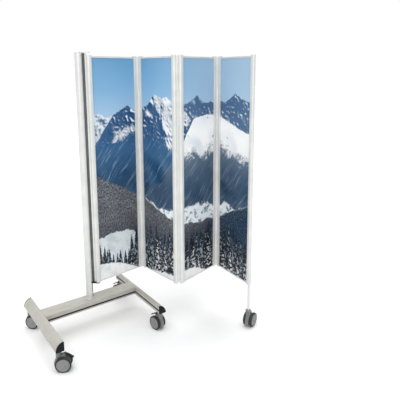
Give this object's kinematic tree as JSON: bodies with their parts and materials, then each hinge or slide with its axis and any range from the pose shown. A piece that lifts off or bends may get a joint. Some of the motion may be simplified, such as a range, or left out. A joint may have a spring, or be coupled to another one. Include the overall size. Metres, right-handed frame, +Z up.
{
  "type": "folding partition screen",
  "caption": "Mobile folding privacy screen: printed sheets in slim profiles, hinged from a pole on an H-shaped base with casters.",
  "frame": {"origin": "on the floor, under the middle of the screen's bounding box at rest", "axes": "+Z up; +X along the base's crossbar, from the pole's side towards the screen's free end; the legs' long ends point to -Y, the side the screen is seen from"},
  "size_m": [1.0406, 0.8142, 1.47],
  "materials": {
    "frame_grey": "warm light grey powder coat, satin",
    "profile_silver": "satin silver anodised aluminium",
    "black_plastic": "moulded black plastic, fine texture",
    "black_rubber": "soft black rubber, matt",
    "caster_grey": "moulded mid-grey plastic",
    "wheel_grey": "grey wheel with a thin dark tread",
    "print": null,
    "bright_steel": "bright steel"
  },
  "bodies": {
    "trolley": {"bottom_bracket": "black_plastic", "crossbar": "frame_grey", "crossbar_strip": "black_rubber", "front_left_cap": "black_plastic", "front_right_cap": "black_plastic", "left_leg": "frame_grey", "left_leg_strip": "black_rubber", "pole": "profile_silver", "pole_bolt": "bright_steel", "pole_collar": "profile_silver", "pole_seal": "black_rubber", "pole_slot_strip": "black_rubber", "rear_left_cap": "black_plastic", "rear_right_cap": "black_plastic", "right_leg": "frame_grey", "right_leg_strip": "black_rubber", "top_bracket": "profile_silver"},
    "end_caster": {"end_caster_housing": "caster_grey"},
    "end_caster_left_wheel": {"end_caster_left_wheel": "wheel_grey"},
    "end_caster_right_wheel": {"end_caster_right_wheel": "wheel_grey"},
    "section_4": {"end_stem": "profile_silver", "section_4_bottom_rail": "profile_silver", "section_4_left_profile": "profile_silver", "section_4_right_profile": "profile_silver", "section_4_sheet": "print", "section_4_top_rail": "profile_silver"},
    "section_1": {"fold_pin_1": "bright_steel", "section_1_bottom_rail": "profile_silver", "section_1_left_profile": "profile_silver", "section_1_right_profile": "profile_silver", "section_1_sheet": "print", "section_1_top_rail": "profile_silver"},
    "section_2": {"fold_pin_2": "bright_steel", "section_2_bottom_rail": "profile_silver", "section_2_left_profile": "profile_silver", "section_2_right_profile": "profile_silver", "section_2_sheet": "print", "section_2_top_rail": "profile_silver"},
    "section_3": {"fold_pin_3": "bright_steel", "section_3_bottom_rail": "profile_silver", "section_3_left_profile": "profile_silver", "section_3_right_profile": "profile_silver", "section_3_sheet": "print", "section_3_top_rail": "profile_silver"},
    "front_left_caster": {"front_left_caster_housing": "caster_grey"},
    "front_left_caster_left_wheel": {"front_left_caster_left_wheel": "wheel_grey"},
    "front_left_caster_pedal": {"front_left_caster_pedal": "black_plastic"},
    "front_left_caster_right_wheel": {"front_left_caster_right_wheel": "wheel_grey"},
    "front_right_caster": {"front_right_caster_housing": "caster_grey"},
    "front_right_caster_left_wheel": {"front_right_caster_left_wheel": "wheel_grey"},
    "front_right_caster_pedal": {"front_right_caster_pedal": "black_plastic"},
    "front_right_caster_right_wheel": {"front_right_caster_right_wheel": "wheel_grey"},
    "rear_left_caster": {"rear_left_caster_housing": "caster_grey"},
    "rear_left_caster_left_wheel": {"rear_left_caster_left_wheel": "wheel_grey"},
    "rear_left_caster_pedal": {"rear_left_caster_pedal": "black_plastic"},
    "rear_left_caster_right_wheel": {"rear_left_caster_right_wheel": "wheel_grey"},
    "rear_right_caster": {"rear_right_caster_housing": "caster_grey"},
    "rear_right_caster_left_wheel": {"rear_right_caster_left_wheel": "wheel_grey"},
    "rear_right_caster_pedal": {"rear_right_caster_pedal": "black_plastic"},
    "rear_right_caster_right_wheel": {"rear_right_caster_right_wheel": "wheel_grey"}
  },
  "joints": [
    {"name": "section_1_fold", "type": "hinge", "parent": "trolley", "child": "section_1", "pos_m": [-0.17945, 0.13205, 0.25], "axis": [0, 0, 1], "range_deg": [-37, 55]},
    {"name": "section_2_fold", "type": "hinge", "parent": "section_1", "child": "section_2", "pos_m": [0.10766, 0.15419, 0.25], "axis": [0, 0, 1], "range_deg": [-89, 88]},
    {"name": "section_3_fold", "type": "hinge", "parent": "section_2", "child": "section_3", "pos_m": [0.16734, -0.13859, 0.25], "axis": [0, 0, -1], "range_deg": [-82, 95]},
    {"name": "section_4_fold", "type": "hinge", "parent": "section_3", "child": "section_4", "pos_m": [0.46225, -0.09042, 0.25], "axis": [0, 0, 1], "range_deg": [-71, 105]},
    {"name": "front_left_caster_swivel", "type": "hinge", "parent": "trolley", "child": "front_left_caster", "pos_m": [-0.49195, -0.10945, 0.106], "axis": [0, 0, 1], "continuous": true},
    {"name": "front_left_caster_left_wheel_spin", "type": "hinge", "parent": "front_left_caster", "child": "front_left_caster_left_wheel", "pos_m": [-0.4729, -0.12045, 0.0375], "axis": [-0.5, -0.866, 0], "continuous": true},
    {"name": "front_left_caster_right_wheel_spin", "type": "hinge", "parent": "front_left_caster", "child": "front_left_caster_right_wheel", "pos_m": [-0.4729, -0.12045, 0.0375], "axis": [-0.5, -0.866, 0], "continuous": true},
    {"name": "front_left_caster_brake", "type": "hinge", "parent": "front_left_caster", "child": "front_left_caster_pedal", "pos_m": [-0.46597, -0.12445, 0.0852], "axis": [0.5, 0.866, 0], "range_deg": [0, 10]},
    {"name": "front_right_caster_swivel", "type": "hinge", "parent": "trolley", "child": "front_right_caster", "pos_m": [0.06105, -0.10945, 0.106], "axis": [0, 0, 1], "continuous": true},
    {"name": "front_right_caster_left_wheel_spin", "type": "hinge", "parent": "front_right_caster", "child": "front_right_caster_left_wheel", "pos_m": [0.05723, -0.08779, 0.0375], "axis": [0.9848, 0.1736, 0], "continuous": true},
    {"name": "front_right_caster_right_wheel_spin", "type": "hinge", "parent": "front_right_caster", "child": "front_right_caster_right_wheel", "pos_m": [0.05723, -0.08779, 0.0375], "axis": [0.9848, 0.1736, 0], "continuous": true},
    {"name": "front_right_caster_brake", "type": "hinge", "parent": "front_right_caster", "child": "front_right_caster_pedal", "pos_m": [0.05584, -0.07991, 0.0852], "axis": [-0.9848, -0.1736, 0], "range_deg": [0, 10]},
    {"name": "rear_left_caster_swivel", "type": "hinge", "parent": "trolley", "child": "rear_left_caster", "pos_m": [-0.49195, 0.34055, 0.106], "axis": [0, 0, 1], "continuous": true},
    {"name": "rear_left_caster_left_wheel_spin", "type": "hinge", "parent": "rear_left_caster", "child": "rear_left_caster_left_wheel", "pos_m": [-0.47781, 0.3237, 0.0375], "axis": [-0.766, -0.6428, 0], "continuous": true},
    {"name": "rear_left_caster_right_wheel_spin", "type": "hinge", "parent": "rear_left_caster", "child": "rear_left_caster_right_wheel", "pos_m": [-0.47781, 0.3237, 0.0375], "axis": [-0.766, -0.6428, 0], "continuous": true},
    {"name": "rear_left_caster_brake", "type": "hinge", "parent": "rear_left_caster", "child": "rear_left_caster_pedal", "pos_m": [-0.47267, 0.31757, 0.0852], "axis": [0.766, 0.6428, 0], "range_deg": [0, 10]},
    {"name": "rear_right_caster_swivel", "type": "hinge", "parent": "trolley", "child": "rear_right_caster", "pos_m": [0.06105, 0.34055, 0.106], "axis": [0, 0, 1], "continuous": true},
    {"name": "rear_right_caster_left_wheel_spin", "type": "hinge", "parent": "rear_right_caster", "child": "rear_right_caster_left_wheel", "pos_m": [0.05352, 0.36122, 0.0375], "axis": [0.9397, 0.342, 0], "continuous": true},
    {"name": "rear_right_caster_right_wheel_spin", "type": "hinge", "parent": "rear_right_caster", "child": "rear_right_caster_right_wheel", "pos_m": [0.05352, 0.36122, 0.0375], "axis": [0.9397, 0.342, 0], "continuous": true},
    {"name": "rear_right_caster_brake", "type": "hinge", "parent": "rear_right_caster", "child": "rear_right_caster_pedal", "pos_m": [0.05079, 0.36874, 0.0852], "axis": [-0.9397, -0.342, 0], "range_deg": [0, 10]},
    {"name": "end_caster_swivel", "type": "hinge", "parent": "section_4", "child": "end_caster", "pos_m": [0.45616, -0.37832, 0.1], "axis": [0, 0, 1], "continuous": true},
    {"name": "end_caster_left_wheel_spin", "type": "hinge", "parent": "end_caster", "child": "end_caster_left_wheel", "pos_m": [0.47675, -0.37057, 0.0375], "axis": [0.3518, -0.9361, 0], "continuous": true},
    {"name": "end_caster_right_wheel_spin", "type": "hinge", "parent": "end_caster", "child": "end_caster_right_wheel", "pos_m": [0.47675, -0.37057, 0.0375], "axis": [0.3518, -0.9361, 0], "continuous": true}
  ]
}
